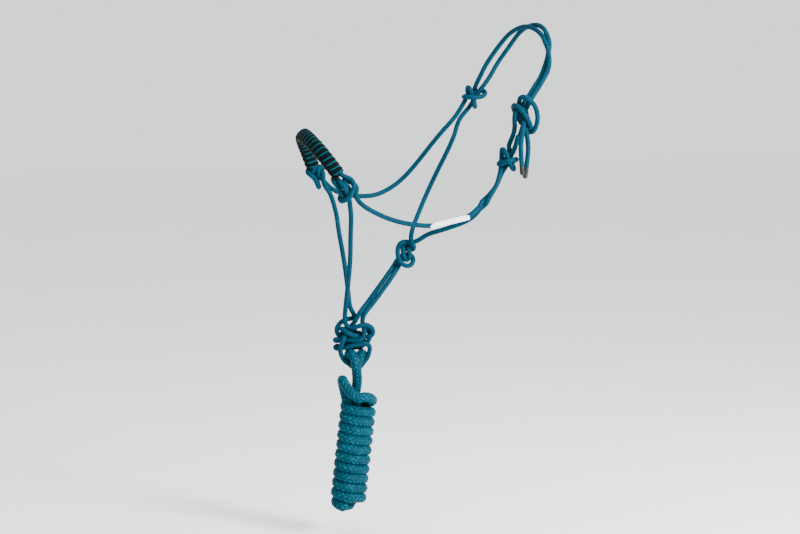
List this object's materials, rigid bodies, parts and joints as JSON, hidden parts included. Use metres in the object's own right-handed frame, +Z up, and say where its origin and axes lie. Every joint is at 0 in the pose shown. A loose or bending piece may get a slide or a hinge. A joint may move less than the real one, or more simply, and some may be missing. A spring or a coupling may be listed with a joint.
{
  "type": "rope halter",
  "caption": "Knotted rope halter for a horse, with a wrapped noseband, a tied crown, a chin loop and its lead rope wound into a hank.",
  "frame": {"origin": "underside of the crown at the poll, where the halter rests on the head", "axes": "+Z up, -X towards the muzzle, +Y to the off side (the horse's right), as worn on a level head"},
  "size_m": [0.3493, 0.1804, 0.6651],
  "materials": {
    "halter_cord": "braided polyester cord, slight sheen",
    "teal_wrap": "thin braided cord, slight sheen",
    "dark_wrap": "thin braided cord, matt",
    "lead_rope": "braided polyester rope, satin sheen",
    "sleeve": "white shrunk sleeve, satin",
    "ferrule": "taupe shrunk sleeve",
    "sealed_end": "melted black cord end"
  },
  "bodies": {
    "harness": {"off_nose_knot": "halter_cord", "near_nose_knot": "halter_cord", "off_cheek_knot": "halter_cord", "near_cheek_knot": "halter_cord", "throat_knot": "halter_cord", "fiador_knot": "halter_cord", "off_cheek_cord": "halter_cord", "near_cheek_cord": "halter_cord", "off_throat_cord": "halter_cord", "near_throat_cord": "halter_cord", "front_jaw_cord": "halter_cord", "rear_jaw_cord": "halter_cord", "off_chin_cord": "halter_cord", "near_chin_cord": "halter_cord", "label_sleeve": "sleeve"},
    "crown": {"crown_front_cord": "halter_cord", "crown_rear_cord": "halter_cord", "crown_tie_knot": "halter_cord", "tie_loop_front_cord": "halter_cord", "tie_loop_rear_cord": "halter_cord"},
    "front_tail": {"front_tail_cord": "halter_cord", "front_tail_ferrule": "ferrule", "front_tail_sealed_end": "sealed_end"},
    "rear_tail": {"rear_tail_cord": "halter_cord", "rear_tail_ferrule": "ferrule", "rear_tail_sealed_end": "sealed_end"},
    "noseband": {"noseband_front_core": "halter_cord", "noseband_rear_core": "halter_cord", "noseband_wrap": "teal_wrap", "noseband_accent_wrap": "dark_wrap"},
    "loop": {"fiador_loop": "halter_cord"},
    "lead": {"lead_eye": "lead_rope", "lead_splice": "lead_rope", "lead_neck": "lead_rope", "lead_hank": "lead_rope"}
  },
  "joints": [
    {"name": "crown_fold", "type": "hinge", "parent": "harness", "child": "crown", "pos_m": [-0.06, 0, -0.1395], "axis": [0.0365, 0.8761, 0.4807], "range_deg": [-50, 15]},
    {"name": "noseband_fold", "type": "hinge", "parent": "harness", "child": "noseband", "pos_m": [-0.289, 0, -0.2105], "axis": [0.0175, 0.9989, 0.0438], "range_deg": [-70, 80]},
    {"name": "front_tail_swing", "type": "hinge", "parent": "crown", "child": "front_tail", "pos_m": [-0.047, -0.088, -0.139], "axis": [0, 1, 0], "range_deg": [-45, 4]},
    {"name": "rear_tail_swing", "type": "hinge", "parent": "crown", "child": "rear_tail", "pos_m": [-0.0395, -0.0815, -0.139], "axis": [0, 1, 0], "range_deg": [-45, 4]},
    {"name": "loop_flap", "type": "hinge", "parent": "harness", "child": "loop", "pos_m": [-0.257, 0, -0.43075], "axis": [0.9397, -0.342, 0], "range_deg": [-45, 45]},
    {"name": "lead_swing", "type": "hinge", "parent": "loop", "child": "lead", "pos_m": [-0.257, 0, -0.44175], "axis": [0.342, 0.9397, 0], "range_deg": [-40, 40]}
  ]
}
